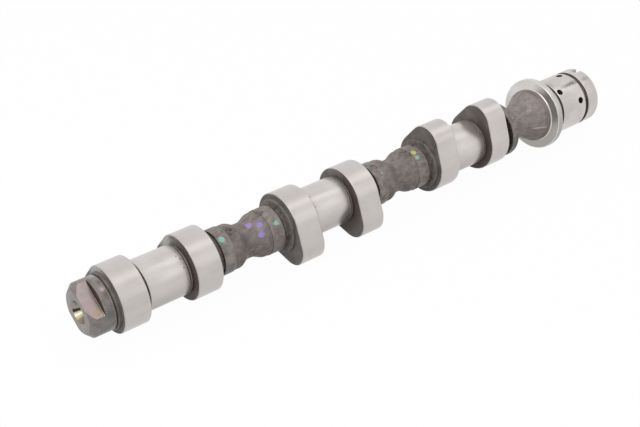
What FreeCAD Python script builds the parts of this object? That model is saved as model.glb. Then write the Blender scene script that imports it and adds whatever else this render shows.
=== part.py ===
"""Overhead camshaft of one bank of a V6 engine: one iron casting, turned and ground.

Units are millimetres. The shaft's axis is X. The drive end's front face is at X = 0 and the
shaft runs from there towards -X. +Z is up as the shaft lies on a table, on its thrust flange
and its lobes. Angles are about X, counted from +Y towards +Z.
"""

import FreeCAD, Part
import math
import os

import Sketcher

doc = FreeCAD.newDocument("camshaft")

# Driving dimensions
DIMENSIONS = {
    # Cylinder bank
    "pair_pitch": 103.0,
    "last_pair_to_front": 110.5,
    "lobe_spacing": 41.5,
    "first_phase": -19.4,
    "phase_step": 120.0,
    # Cam lobes
    "lobe_width": 14.5,
    "base_circle_radius": 17.7,
    "nose_radius": 11.2,
    "nose_offset": 12.9,
    "lobe_edge_chamfer": 0.4,
    # Bearing journals inside the pairs
    "journal_radius": 13.475,
    "journal_length": 22.4,
    "journal_chamfer": 0.5,
    "relief_radius": 12.6,
    "relief_ridge_radius": 13.1,
    "relief_gap": 0.7,
    "relief_ridge_width": 0.8,
    # Rings and collars on the outer faces of the pairs
    "hub_ring_radius": 14.9,
    "hub_ring_width": 1.8,
    "hub_ring_chamfer": 0.5,
    "shadow_ring_radius": 11.4,
    "collar_gap": 4.7,
    "collar_radius": 12.6,
    "front_collar_reach": 11.2,
    "rear_collar_reach": 12.2,
    # Cast sections between the pairs
    "barrel_radius": 12.2,
    "rear_barrel_length": 4.2,
    "rear_barrel_slope": 6.6,
    "waist_radius": 9.7,
    "front_barrel_slope": 7.4,
    "front_barrel_length": 2.6,
    # Rear end with its two spanner flats
    "boss_radius": 14.2,
    "boss_length": 15.2,
    "boss_end_chamfer": 2.9,
    "boss_groove_width": 0.7,
    "boss_groove_depth": 0.5,
    "flats_across": 20.4,
    "flats_length": 7.6,
    "flats_angle": 125.5,
    "centre_mouth_radius": 6.2,
    "centre_bore_radius": 2.7,
    "centre_bore_length": 12.0,
    "centre_half_angle": 30.0,
    "drill_half_angle": 59.0,
    # Drive end, from the front face backwards
    "front_journal_radius": 17.25,
    "front_face_chamfer": 0.3,
    "end_collar_length": 9.0,
    "seal_groove_width": 2.9,
    "seal_groove_depth": 2.0,
    "front_journal_length": 20.5,
    "oil_groove_width": 1.9,
    "oil_groove_depth": 1.2,
    "shoulder_length": 5.0,
    "flange_radius": 22.1,
    "flange_thickness": 4.0,
    "flange_chamfer": 0.4,
    "flange_face_ring_radius": 16.2,
    "flange_face_ring_height": 2.9,
    "cone_radius": 15.6,
    "cone_rim_length": 0.6,
    "cone_length": 11.7,
    "hub_radius": 16.5,
    "hub_reach": 9.9,
    "hub_gap": 4.6,
    "hub_edge_chamfer": 0.6,
    # Bolt bore, thread, oil drillings and locating slot of the drive end
    "bolt_bore_radius": 8.25,
    "bolt_bore_depth": 34.0,
    "bolt_bore_chamfer": 1.0,
    "thread_radius": 5.1,
    "thread_length": 22.0,
    "oil_hole_radius": 2.0,
    "front_oil_row": 16.1,
    "rear_oil_row": 29.6,
    "front_oil_angle_low": 156.6,
    "front_oil_angle_high": 80.5,
    "rear_oil_angle": 123.7,
    "slot_width": 3.6,
    "slot_depth": 2.6,
    "slot_length": 5.0,
    "slot_angle": 87.9,
}

sheet = doc.addObject("Spreadsheet::Sheet", "Sizes")
for row, (alias, number) in enumerate(DIMENSIONS.items(), start=1):
    sheet.set("A%d" % row, alias)
    sheet.set("B%d" % row, str(number))
    sheet.setAlias("B%d" % row, alias)
doc.recompute()


class Size:
    """A length or angle that keeps both its number and the sheet expression behind it."""

    def __init__(self, number, text):
        self.number = number
        self.text = text

    def __add__(self, other):
        other = as_size(other)
        return Size(self.number + other.number, "(%s + %s)" % (self.text, other.text))

    def __sub__(self, other):
        other = as_size(other)
        return Size(self.number - other.number, "(%s - %s)" % (self.text, other.text))

    def __mul__(self, factor):
        return Size(self.number * factor, "(%s * %s)" % (self.text, repr(factor)))

    def __truediv__(self, divisor):
        return Size(self.number / divisor, "(%s / %s)" % (self.text, repr(divisor)))

    def __neg__(self):
        return Size(-self.number, "(0 - %s)" % self.text)


def as_size(value):
    return value if isinstance(value, Size) else Size(float(value), repr(float(value)))


def size(alias):
    return Size(DIMENSIONS[alias], "Sizes." + alias)


NOTHING = as_size(0.0)

body = doc.addObject("PartDesign::Body", "camshaft")
body.Label = "camshaft"


def origin_feature(role):
    return next(item for item in body.Origin.OriginFeatures if item.Role == role)


def new_sketch(name, plane, x=NOTHING, y=NOTHING, z=NOTHING):
    """A sketch on one of the body's origin planes, shifted in the plane's own directions."""
    sketch = body.newObject("Sketcher::SketchObject", name)
    sketch.AttachmentSupport = [(origin_feature(plane), "")]
    sketch.MapMode = "FlatFace"
    for direction, shift in (("x", x), ("y", y), ("z", z)):
        if shift is not NOTHING:
            sketch.setExpression("AttachmentOffset.Base." + direction, shift.text)
    return sketch


def turn_sketch(sketch, axis, angle):
    """Turn a sketch about one direction of its own plane."""
    sketch.AttachmentOffset = FreeCAD.Placement(
        sketch.AttachmentOffset.Base, FreeCAD.Rotation(axis, angle.number))
    sketch.setExpression("AttachmentOffset.Rotation.Angle", angle.text)


def place_point(sketch, geometry, end, x, y):
    """Hold one point of a sketch at sheet-driven distances from its origin."""
    for kind, distance in (("DistanceX", x), ("DistanceY", y)):
        number = sketch.addConstraint(
            Sketcher.Constraint(kind, -1, 1, geometry, end, distance.number))
        sketch.setExpression("Constraints[%d]" % number, distance.text)


START, END, CENTRE = range(1, 4)


def add_line(sketch, start, end):
    line = Part.LineSegment(FreeCAD.Vector(start[0].number, start[1].number, 0),
                            FreeCAD.Vector(end[0].number, end[1].number, 0))
    return sketch.addGeometry(line, False)


def add_ogee(sketch, start, end):
    """Two equal arcs, tangent to each other in the middle and level at both ends."""
    run = end[0].number - start[0].number
    rise = end[1].number - start[1].number
    up = math.copysign(1.0, rise)
    radius = (run * run + rise * rise) / (4.0 * abs(rise))
    sweep = 2.0 * math.atan2(abs(rise), run)
    first_centre = FreeCAD.Vector(start[0].number, start[1].number + up * radius, 0)
    second_centre = FreeCAD.Vector(end[0].number, end[1].number - up * radius, 0)
    axis = FreeCAD.Vector(0, 0, 1)
    right = math.pi / 2.0
    if up > 0:
        angles = ((-right, -right + sweep), (right, right + sweep))
    else:
        angles = ((right - sweep, right), (-right - sweep, -right))
    arcs = []
    for centre, (low, high) in zip((first_centre, second_centre), angles):
        circle = Part.Circle(centre, axis, radius)
        arcs.append(sketch.addGeometry(Part.ArcOfCircle(circle, low, high), False))
    first, second = arcs
    # An arc runs anticlockwise, so where the ogee falls both of its arcs start at their far ends
    first_near, first_far = (START, END) if up > 0 else (END, START)
    second_near, second_far = (END, START) if up > 0 else (START, END)
    sketch.addConstraint(Sketcher.Constraint("Tangent", first, first_far, second, second_near))
    sketch.addConstraint(Sketcher.Constraint("Equal", first, second))
    for arc, point in ((first, start), (second, end)):
        number = sketch.addConstraint(
            Sketcher.Constraint("DistanceX", -1, 1, arc, CENTRE, point[0].number))
        sketch.setExpression("Constraints[%d]" % number, point[0].text)
    return (first, first_near), (second, second_far)


def draw_outline(sketch, points):
    """A closed outline from (x, y) points; a third item "ogee" curves the way to that point."""
    ends = []
    closing = points + [points[0]]
    for start, end in zip(closing, closing[1:]):
        if len(end) == 3 and end is not points[0]:
            ends.append(add_ogee(sketch, start, end))
        else:
            line = add_line(sketch, start, end)
            ends.append(((line, START), (line, END)))
    for (_, finish), (begin, _) in zip(ends, ends[1:] + ends[:1]):
        sketch.addConstraint(Sketcher.Constraint("Coincident", *finish, *begin))
    for (begin, _), point in zip(ends, points):
        place_point(sketch, begin[0], begin[1], point[0], point[1])


def finished(feature):
    doc.recompute()
    body.Tip = feature
    return feature


def turned(name, outline, station=NOTHING):
    """A turned ring or stretch: its (x, radius) outline is closed on the axis and revolved."""
    sketch = new_sketch(name + "_profile", "XZ_Plane", x=station)
    points = [(outline[0][0], NOTHING)] + outline + [(outline[-1][0], NOTHING)]
    draw_outline(sketch, points)
    feature = body.newObject("PartDesign::Revolution", name)
    feature.Profile = sketch
    feature.ReferenceAxis = (sketch, ["H_Axis"])
    feature.Angle = 360.0
    return finished(feature)


def grooved(name, outline):
    """A turned cut whose outline is given whole."""
    sketch = new_sketch(name + "_profile", "XZ_Plane")
    draw_outline(sketch, outline)
    feature = body.newObject("PartDesign::Groove", name)
    feature.Profile = sketch
    feature.ReferenceAxis = (sketch, ["H_Axis"])
    feature.Angle = 360.0
    return cut_checked(feature)


def cut_checked(feature):
    before = body.Shape.Volume
    finished(feature)
    if not body.Shape.Volume < before:
        raise RuntimeError(feature.Name + " cuts nothing")
    return feature


def mirrored_outline(half):
    """An outline that runs out from the middle, repeated backwards on the other side."""
    return [(-x, radius) for x, radius in reversed(half)] + half


# Stations along the shaft
pair_stations = [-size("last_pair_to_front") - size("pair_pitch") * steps for steps in (2, 1, 0)]
pair_phases = [size("first_phase") + size("phase_step") * steps for steps in (0, 2, 1)]
outer_face = size("lobe_spacing") / 2 + size("lobe_width") / 2
inner_face = size("lobe_spacing") / 2 - size("lobe_width") / 2
rear_lobe_face = pair_stations[0] - outer_face
rear_end = rear_lobe_face - size("boss_length")
front_lobe_face = pair_stations[2] + outer_face

# The bar of iron at the heart of the casting, as thick as its waists
core_sketch = new_sketch("core_profile", "YZ_Plane", z=rear_end)
core_circle = core_sketch.addGeometry(
    Part.Circle(FreeCAD.Vector(0, 0, 0), FreeCAD.Vector(0, 0, 1), DIMENSIONS["waist_radius"]), False)
core_sketch.addConstraint(Sketcher.Constraint("Coincident", core_circle, CENTRE, -1, 1))
core_radius = core_sketch.addConstraint(
    Sketcher.Constraint("Radius", core_circle, DIMENSIONS["waist_radius"]))
core_sketch.setExpression("Constraints[%d]" % core_radius, size("waist_radius").text)
core = body.newObject("PartDesign::Pad", "core")
core.Profile = core_sketch
core.setExpression("Length", (-rear_end).text)
finished(core)


# Bearing journals, each with a ridged relief up to the lobes beside it
def bearing_outline():
    half_length = size("journal_length") / 2
    ridge_start = half_length + size("relief_gap")
    ridge_end = ridge_start + size("relief_ridge_width")
    journal = size("journal_radius")
    relief = size("relief_radius")
    ridge = size("relief_ridge_radius")
    chamfer = size("journal_chamfer")
    return mirrored_outline([
        (half_length - chamfer, journal),
        (half_length, journal - chamfer),
        (half_length, relief),
        (ridge_start, relief),
        (ridge_start, ridge),
        (ridge_end, ridge),
        (ridge_end, relief),
        (inner_face, relief),
    ])


for number, station in enumerate(pair_stations, start=1):
    turned("bearing_%d" % number, bearing_outline(), station)


# Cam lobes: a base circle, a nose circle and two straight flanks tangent to both
def cam_lobe(name, start, phase):
    sketch = new_sketch(name + "_profile", "YZ_Plane", z=start)
    turn_sketch(sketch, FreeCAD.Vector(0, 0, 1), phase)
    base = DIMENSIONS["base_circle_radius"]
    nose = DIMENSIONS["nose_radius"]
    offset = DIMENSIONS["nose_offset"]
    lean = math.acos((base - nose) / offset)
    upward = FreeCAD.Vector(0, 0, 1)
    base_arc = sketch.addGeometry(Part.ArcOfCircle(
        Part.Circle(FreeCAD.Vector(0, 0, 0), upward, base), lean, 2 * math.pi - lean), False)
    nose_arc = sketch.addGeometry(Part.ArcOfCircle(
        Part.Circle(FreeCAD.Vector(offset, 0, 0), upward, nose), -lean, lean), False)
    for side, base_end, nose_end in ((1, START, END), (-1, END, START)):
        normal = FreeCAD.Vector(math.cos(lean), side * math.sin(lean), 0)
        flank = sketch.addGeometry(Part.LineSegment(
            normal * base, normal * nose + FreeCAD.Vector(offset, 0, 0)), False)
        sketch.addConstraint(Sketcher.Constraint("Tangent", base_arc, base_end, flank, START))
        sketch.addConstraint(Sketcher.Constraint("Tangent", nose_arc, nose_end, flank, END))
    sketch.addConstraint(Sketcher.Constraint("Coincident", base_arc, CENTRE, -1, 1))
    sketch.addConstraint(Sketcher.Constraint("PointOnObject", nose_arc, CENTRE, -1))
    for constraint, alias in (
            (Sketcher.Constraint("Radius", base_arc, base), "base_circle_radius"),
            (Sketcher.Constraint("Radius", nose_arc, nose), "nose_radius"),
            (Sketcher.Constraint("DistanceX", -1, 1, nose_arc, CENTRE, offset), "nose_offset")):
        index = sketch.addConstraint(constraint)
        sketch.setExpression("Constraints[%d]" % index, size(alias).text)
    lobe = body.newObject("PartDesign::Pad", name)
    lobe.Profile = sketch
    lobe.setExpression("Length", size("lobe_width").text)
    return finished(lobe)


lobe_faces = []
for number, (station, phase) in enumerate(zip(pair_stations, pair_phases), start=1):
    for side, start in (("rear", station - outer_face), ("front", station + inner_face)):
        cam_lobe("lobe_%d_%s" % (number, side), start, phase)
        lobe_faces += [start.number, start.number + DIMENSIONS["lobe_width"]]


# Collars on the outer side of a pair: a ring on the lobe's face, a deep ring and a turned band
def collar_outline(reach):
    ring_end = size("hub_ring_width")
    chamfer = size("hub_ring_chamfer")
    return [
        (NOTHING, size("hub_ring_radius")),
        (ring_end - chamfer, size("hub_ring_radius")),
        (ring_end, size("hub_ring_radius") - chamfer),
        (ring_end, size("shadow_ring_radius")),
        (size("collar_gap"), size("shadow_ring_radius")),
        (size("collar_gap"), size("collar_radius")),
        (reach, size("collar_radius")),
    ]


def towards_rear(outline):
    return [(-x, radius) for x, radius in reversed(outline)]


for number in (1, 2):
    turned("front_collar_%d" % number, collar_outline(size("front_collar_reach")),
           pair_stations[number - 1] + outer_face)
    turned("rear_collar_%d" % (number + 1),
           towards_rear(collar_outline(size("rear_collar_reach"))),
           pair_stations[number] - outer_face)

# Cast sections between the pairs: two barrels that sink to a waist
for number in (1, 2):
    section_start = pair_stations[number - 1] + outer_face + size("front_collar_reach")
    section_length = (size("pair_pitch") - outer_face * 2
                      - size("front_collar_reach") - size("rear_collar_reach"))
    barrel = size("barrel_radius")
    waist = size("waist_radius")
    front_barrel = section_length - size("front_barrel_length")
    turned("cast_section_%d" % number, [
        (NOTHING, barrel),
        (size("rear_barrel_length"), barrel),
        (size("rear_barrel_length") + size("rear_barrel_slope"), waist, "ogee"),
        (front_barrel - size("front_barrel_slope"), waist),
        (front_barrel, barrel, "ogee"),
        (section_length, barrel),
    ], section_start)

# Rear end: a boss with a wide chamfer, and a narrow groove in front of the first lobe's ring
boss = size("boss_radius")
ring_rear = size("hub_ring_width")
groove_floor = boss - size("boss_groove_depth")
turned("rear_boss", towards_rear([
    (NOTHING, size("hub_ring_radius")),
    (ring_rear - size("hub_ring_chamfer"), size("hub_ring_radius")),
    (ring_rear, size("hub_ring_radius") - size("hub_ring_chamfer")),
    (ring_rear, groove_floor),
    (ring_rear + size("boss_groove_width"), groove_floor),
    (ring_rear + size("boss_groove_width"), boss),
    (size("boss_length") - size("boss_end_chamfer"), boss),
    (size("boss_length"), boss - size("boss_end_chamfer")),
]), rear_lobe_face)

# Drive end: hub, neck, cast cone, thrust flange, shoulder, journal and end collar
journal_front = -size("end_collar_length")
journal_rear = journal_front - size("front_journal_length") - size("seal_groove_width")
shoulder_front = journal_rear - size("oil_groove_width")
flange_front = shoulder_front - size("shoulder_length")
flange_rear = flange_front - size("flange_thickness")
cone_front = flange_rear - size("flange_face_ring_height")
cone_rim = cone_front - size("cone_rim_length")
turned("front_hub", [
    (NOTHING, size("hub_ring_radius")),
    (size("hub_ring_width"), size("hub_ring_radius")),
    (size("hub_ring_width"), size("shadow_ring_radius")),
    (size("hub_gap"), size("shadow_ring_radius")),
    (size("hub_gap"), size("hub_radius")),
    (size("hub_reach") - size("hub_edge_chamfer"), size("hub_radius")),
    (size("hub_reach"), size("hub_radius") - size("hub_edge_chamfer")),
], front_lobe_face)
front_radius = size("front_journal_radius")
turned("drive_end", [
    (cone_rim - size("cone_length"), size("waist_radius")),
    (cone_rim, size("cone_radius")),
    (cone_front, size("cone_radius")),
    (cone_front, size("flange_face_ring_radius")),
    (flange_rear, size("flange_face_ring_radius")),
    (flange_rear, size("flange_radius") - size("flange_chamfer")),
    (flange_rear + size("flange_chamfer"), size("flange_radius")),
    (flange_front - size("flange_chamfer"), size("flange_radius")),
    (flange_front, size("flange_radius") - size("flange_chamfer")),
    (flange_front, front_radius),
    (-size("front_face_chamfer"), front_radius),
    (NOTHING, front_radius - size("front_face_chamfer")),
])

# Broken edges of the lobes
edge_tolerance = 0.001
lobe_edges = []
for index, edge in enumerate(body.Shape.Edges, start=1):
    low = edge.BoundBox.XMin
    high = edge.BoundBox.XMax
    on_face = any(abs(low - face) < edge_tolerance and abs(high - face) < edge_tolerance
                  for face in lobe_faces)
    reach = min(math.hypot(vertex.Y, vertex.Z) for vertex in edge.Vertexes)
    if on_face and reach > DIMENSIONS["base_circle_radius"] - edge_tolerance:
        lobe_edges.append("Edge%d" % index)
turned_shaft = body.Tip
lobe_chamfer = body.newObject("PartDesign::Chamfer", "lobe_edges")
lobe_chamfer.Base = (turned_shaft, lobe_edges)
lobe_chamfer.setExpression("Size", size("lobe_edge_chamfer").text)
cut_checked(lobe_chamfer)


# Ring grooves of the drive end
def ring_groove(name, rear, front, depth):
    floor = front_radius - depth
    clear = front_radius + depth
    grooved(name, [(rear, floor), (front, floor), (front, clear), (rear, clear)])


ring_groove("seal_groove", journal_front - size("seal_groove_width"), journal_front,
            size("seal_groove_depth"))
ring_groove("oil_groove", shoulder_front, journal_rear, size("oil_groove_depth"))


# Bores on the axis: each ends in the cone that its drill leaves
def drill_point(radius):
    return radius / math.tan(math.radians(DIMENSIONS["drill_half_angle"]))


bore_bottom = -size("bolt_bore_depth")
thread_bottom = bore_bottom - size("thread_length")
grooved("bolt_bore", [
    (NOTHING, NOTHING),
    (NOTHING, size("bolt_bore_radius") + size("bolt_bore_chamfer")),
    (-size("bolt_bore_chamfer"), size("bolt_bore_radius")),
    (bore_bottom, size("bolt_bore_radius")),
    (bore_bottom, size("thread_radius")),
    (thread_bottom, size("thread_radius")),
    (thread_bottom - size("thread_radius") * drill_point(1.0), NOTHING),
])
mouth_step = size("centre_mouth_radius") - size("centre_bore_radius")
mouth_length = mouth_step / math.tan(math.radians(DIMENSIONS["centre_half_angle"]))
centre_bottom = rear_end + size("centre_bore_length")
grooved("centre_hole", [
    (rear_end, NOTHING),
    (rear_end, size("centre_mouth_radius")),
    (rear_end + mouth_length, size("centre_bore_radius")),
    (centre_bottom, size("centre_bore_radius")),
    (centre_bottom + size("centre_bore_radius") * drill_point(1.0), NOTHING),
])


# Oil drillings, each straight through the journal from side to side
def oil_drilling(name, row, angle):
    sketch = new_sketch(name + "_profile", "XY_Plane")
    turn_sketch(sketch, FreeCAD.Vector(1, 0, 0), angle - 90.0)
    centre = FreeCAD.Vector(-row.number, 0, 0)
    circle = sketch.addGeometry(
        Part.Circle(centre, FreeCAD.Vector(0, 0, 1), DIMENSIONS["oil_hole_radius"]), False)
    sketch.addConstraint(Sketcher.Constraint("PointOnObject", circle, CENTRE, -1))
    for constraint, value in (
            (Sketcher.Constraint("DistanceX", -1, 1, circle, CENTRE, -row.number), -row),
            (Sketcher.Constraint("Radius", circle, DIMENSIONS["oil_hole_radius"]),
             size("oil_hole_radius"))):
        index = sketch.addConstraint(constraint)
        sketch.setExpression("Constraints[%d]" % index, value.text)
    drilling = body.newObject("PartDesign::Pocket", name)
    drilling.Profile = sketch
    drilling.Midplane = True
    drilling.setExpression("Length", (front_radius * 2 + size("seal_groove_depth")).text)
    return cut_checked(drilling)


oil_drilling("front_oil_hole_low", size("front_oil_row"), size("front_oil_angle_low"))
oil_drilling("front_oil_hole_high", size("front_oil_row"), size("front_oil_angle_high"))
oil_drilling("rear_oil_hole", size("rear_oil_row"), size("rear_oil_angle"))


# Milled cuts made from an end face: each is a rectangle of the end view, at its own angle
def milled(name, face, angle, near, far, width, length, inwards):
    sketch = new_sketch(name + "_profile", "YZ_Plane", z=face)
    turn_sketch(sketch, FreeCAD.Vector(0, 0, 1), angle)
    half = width / 2
    draw_outline(sketch, [(near, -half), (far, -half), (far, half), (near, half)])
    cut = body.newObject("PartDesign::Pocket", name)
    cut.Profile = sketch
    cut.Reversed = inwards
    cut.setExpression("Length", length.text)
    return cut_checked(cut)


milled("locating_slot", NOTHING, size("slot_angle"), front_radius - size("slot_depth"),
       front_radius + size("slot_depth"), size("slot_width"), size("slot_length"), False)
for number, turn in enumerate((0.0, 180.0), start=1):
    milled("spanner_flat_%d" % number, rear_end, size("flats_angle") + turn,
           size("flats_across") / 2, size("boss_radius") * 2, size("boss_radius") * 4,
           size("flats_length"), True)

# Checks before anything is written
doc.recompute()
for item in doc.Objects:
    if "Invalid" in item.State or "Error" in item.State:
        raise RuntimeError("%s did not build: %s" % (item.Name, item.State))
shape = body.Shape
if shape.isNull() or not shape.isValid() or len(shape.Solids) != 1:
    raise RuntimeError("the camshaft is not one sound solid")

os.makedirs("parts", exist_ok=True)
shape.exportStep("parts/camshaft.step")
box = shape.BoundBox
print("camshaft: volume %.1f mm3, box %.2f x %.2f x %.2f mm" % (
    shape.Volume, box.XLength, box.YLength, box.ZLength))
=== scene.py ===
"""Overhead camshaft of one bank of a V6 engine, lying on a pale table in a soft studio.

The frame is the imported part's: the shaft's axis is X, the drive end's front face is at X = 0, the
rear end is at X = -359.7 mm and +Z is up. Lengths are millimetres until a mesh is made. Angles are
degrees about X, counted from +Y towards +Z. Tones are colours as a screen shows them, 0 to 255.
"""
import math

import bpy
import numpy as np
from mathutils import Matrix


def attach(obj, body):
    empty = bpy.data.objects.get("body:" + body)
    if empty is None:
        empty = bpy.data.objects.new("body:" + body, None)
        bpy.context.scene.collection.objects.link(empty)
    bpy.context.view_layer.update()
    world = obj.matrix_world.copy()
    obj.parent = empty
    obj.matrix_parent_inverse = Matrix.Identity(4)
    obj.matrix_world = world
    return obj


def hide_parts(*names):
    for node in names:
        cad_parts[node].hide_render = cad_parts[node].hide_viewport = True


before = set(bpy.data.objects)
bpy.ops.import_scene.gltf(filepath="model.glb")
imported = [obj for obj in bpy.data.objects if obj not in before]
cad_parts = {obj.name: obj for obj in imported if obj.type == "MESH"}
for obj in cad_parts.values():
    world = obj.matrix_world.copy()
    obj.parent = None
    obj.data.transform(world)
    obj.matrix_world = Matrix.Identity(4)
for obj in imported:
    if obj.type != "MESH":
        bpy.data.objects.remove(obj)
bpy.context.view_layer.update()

# The camera stands beside the rear end, looking down along the shaft towards the drive end.
# Its place, direction and focal length come from fitting the edges of lobes and journals.
METRES = 0.001
IMAGE_WIDTH, SENSOR_WIDTH = 640.0, 36.0
FOCAL_PIXELS = 1072.99
camera_right = (0.77748, -0.62858, -0.02028)
camera_up = (0.34313, 0.39694, 0.85129)
camera_back = (-0.52705, -0.66882, 0.52430)
camera_place = (-0.52090, -0.39027, 0.30166)

scene = bpy.context.scene
camera = bpy.data.objects.new("camera", bpy.data.cameras.new("camera"))
camera.data.sensor_width = SENSOR_WIDTH
camera.data.lens = FOCAL_PIXELS / IMAGE_WIDTH * SENSOR_WIDTH
camera.data.clip_start, camera.data.clip_end = 0.02, 20.0
axes = np.array([camera_right, camera_up, camera_back]).T
camera.matrix_world = Matrix.Translation(camera_place) @ Matrix(axes.tolist()).to_4x4()
scene.collection.objects.link(camera)
scene.camera = camera
scene.view_settings.view_transform = "Standard"


# The studio: a pale sheet on a table, a long soft box overhead, a bright one at the left and a weak
# one at the right. The shaft lies on its thrust flange and on the noses of the middle pair, so the
# sheet touches both and slopes a little along the shaft.
def add_node(tree, kind, inputs=(), **settings):
    """A shader node with its settings and the values of some inputs, given as (name, value)."""
    made = tree.nodes.new(kind)
    for key, value in settings.items():
        setattr(made, key, value)
    for name, value in inputs:
        made.inputs[name].default_value = value
    return made


def feed(tree, socket, value):
    """A link into a socket, or its own setting. One number fills all three of a vector's."""
    if isinstance(value, bpy.types.NodeSocket):
        tree.links.new(value, socket)
    elif isinstance(value, float) and socket.type == "VECTOR":
        socket.default_value = (value,) * 3
    else:
        socket.default_value = value


def calc(tree, operation, *values):
    """The result of a Math node."""
    made = add_node(tree, "ShaderNodeMath", operation=operation)
    for socket, value in zip(made.inputs, values):
        feed(tree, socket, value)
    return made.outputs[0]


def seen_directly(tree):
    """1 for rays that show the surroundings: from the camera, mirrored or through glass."""
    ray = add_node(tree, "ShaderNodeLightPath").outputs
    straight = calc(tree, "MAXIMUM", ray["Is Camera Ray"], ray["Is Glossy Ray"])
    return calc(tree, "MAXIMUM", straight, ray["Is Transmission Ray"])


# The shaft touches the sheet at two places, as (station, height). Its middle and the sheet's
# reach are in metres.
FLANGE_FOOT = (-41.3, -22.1)
NOSE_FOOT = (-241.5, -19.64)
SHEET_CLEARANCE = 0.05
SHAFT_MIDDLE, SHEET_REACH = -0.18, 3.0
PAPER_GREY, PAPER_ROUGHNESS = (0.4, 0.4, 0.4, 1.0), 0.9
SHEET_WHITE, SHEET_GLOW = 1.07, 0.9
AIR_LIGHT = 0.54

slope = (NOSE_FOOT[1] - FLANGE_FOOT[1]) / (NOSE_FOOT[0] - FLANGE_FOOT[0])
sheet_corners = []
for side_x, side_y in ((-1, -1), (1, -1), (1, 1), (-1, 1)):
    corner_x = side_x * SHEET_REACH + SHAFT_MIDDLE
    foot = (FLANGE_FOOT[1] - SHEET_CLEARANCE) * METRES
    height = foot + slope * (corner_x - FLANGE_FOOT[0] * METRES)
    sheet_corners.append((corner_x, side_y * SHEET_REACH, height))
sheet_mesh = bpy.data.meshes.new("table_sheet")
sheet_mesh.from_pydata(sheet_corners, [], [(0, 1, 2, 3)])
sheet = bpy.data.objects.new("table_sheet", sheet_mesh)
scene.collection.objects.link(sheet)
paper = bpy.data.materials.new("sheet_paper")
paper.use_nodes = True
tree = paper.node_tree
plain = tree.nodes["Principled BSDF"]
plain.inputs["Base Color"].default_value = PAPER_GREY
plain.inputs["Roughness"].default_value = PAPER_ROUGHNESS
glow = add_node(tree, "ShaderNodeEmission", (("Strength", SHEET_WHITE),))
blend = add_node(tree, "ShaderNodeMixShader")
feed(tree, blend.inputs["Fac"], calc(tree, "MULTIPLY", seen_directly(tree), SHEET_GLOW))
feed(tree, blend.inputs[1], plain.outputs["BSDF"])
feed(tree, blend.inputs[2], glow.outputs["Emission"])
feed(tree, tree.nodes["Material Output"].inputs["Surface"], blend.outputs["Shader"])
sheet_mesh.materials.append(paper)

world = bpy.data.worlds.new("studio_air")
scene.world = world
world.use_nodes = True
tree = world.node_tree
background = tree.nodes["Background"]
background.inputs["Color"].default_value = (1.0, 1.0, 1.0, 1.0)
strength = add_node(tree, "ShaderNodeMapRange", (("To Min", AIR_LIGHT), ("To Max", 1.0)))
feed(tree, strength.inputs["Value"], seen_directly(tree))
feed(tree, background.inputs["Strength"], strength.outputs["Result"])


def add_soft_box(name, towards, distance, width, length, power):
    """A rectangular lamp, in metres and watts, that faces the shaft's middle from a direction."""
    lamp = bpy.data.lights.new(name, "AREA")
    lamp.shape = "RECTANGLE"
    lamp.size, lamp.size_y = width, length
    lamp.energy = power
    held = bpy.data.objects.new(name, lamp)
    away = np.array(towards) / np.linalg.norm(towards)
    along = np.array((1.0, 0.0, 0.0)) - away * away[0]
    along /= np.linalg.norm(along)
    across = np.cross(along, away)
    stand = away * distance + np.array((SHAFT_MIDDLE, 0.0, 0.0))
    turned = Matrix(np.array([across, along, away]).T.tolist()).to_4x4()
    held.matrix_world = Matrix.Translation(stand.tolist()) @ turned
    scene.collection.objects.link(held)


add_soft_box("soft_box_overhead", (0.45, -0.16, 0.88), 0.9, 0.34, 0.95, 0.42)
add_soft_box("soft_box_left", (-0.8, -0.15, 0.7), 1.1, 0.7, 0.7, 3.3)
add_soft_box("soft_box_right", (0.5, -0.8, 0.5), 1.1, 0.6, 0.6, 0.3)


# The rear end: a round boss of the casting, turned to size, with a wide chamfer and a centre hole.
# The whole shaft is one piece of iron. Each stretch of its surface has the finish that the foundry,
# the lathe or the grinder left there, and each finish is a material.
def tone(red, green, blue):
    """A colour from its values on a screen, by way of the sRGB curve."""
    values = np.array((red, green, blue)) / 255.0
    linear = np.where(values > 0.04, ((values + 0.055) / 1.055) ** 2.4, values / 12.92)
    return (*linear.tolist(), 1.0)


def outwards(angle):
    """The direction away from the axis at an angle."""
    return (0.0, math.cos(math.radians(angle)), math.sin(math.radians(angle)))


def vector_calc(tree, operation, *values, result="Vector"):
    """The result of a Vector Math node."""
    made = add_node(tree, "ShaderNodeVectorMath", operation=operation)
    for socket, value in zip(made.inputs, values):
        feed(tree, socket, value)
    return made.outputs[result]


def scaled(tree, colour, factor):
    """A colour made brighter or darker by a factor."""
    made = add_node(tree, "ShaderNodeVectorMath", operation="SCALE")
    feed(tree, made.inputs[0], colour)
    feed(tree, made.inputs["Scale"], factor)
    return made.outputs["Vector"]


def rise(tree, value, low, high):
    """0 below one value, 1 above the other and a smooth step between them."""
    made = add_node(tree, "ShaderNodeMapRange", interpolation_type="SMOOTHSTEP")
    for name, given in (("Value", value), ("From Min", low), ("From Max", high)):
        feed(tree, made.inputs[name], given)
    return made.outputs["Result"]


def mix_tones(tree, share, first, second):
    """The first colour where the share is 0, the second where it is 1."""
    made = add_node(tree, "ShaderNodeMix", data_type="RGBA")
    for number, given in ((0, share), (6, first), (7, second)):
        feed(tree, made.inputs[number], given)
    return made.outputs[2]


def tint(tree, colour, mask, strength, shade):
    """A colour with a shade of another tone laid over it, at a strength, where a mask is 1."""
    return mix_tones(tree, calc(tree, "MULTIPLY", mask, strength), colour, tone(*shade))


def noise(tree, vector, size, detail=2.0):
    """Soft random variation about 0.5, whose lumps are about as wide as the size."""
    made = add_node(tree, "ShaderNodeTexNoise", (("Scale", 1.0), ("Detail", detail)))
    feed(tree, made.inputs["Vector"], vector_calc(tree, "DIVIDE", vector, size))
    return made.outputs["Fac"]


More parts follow.
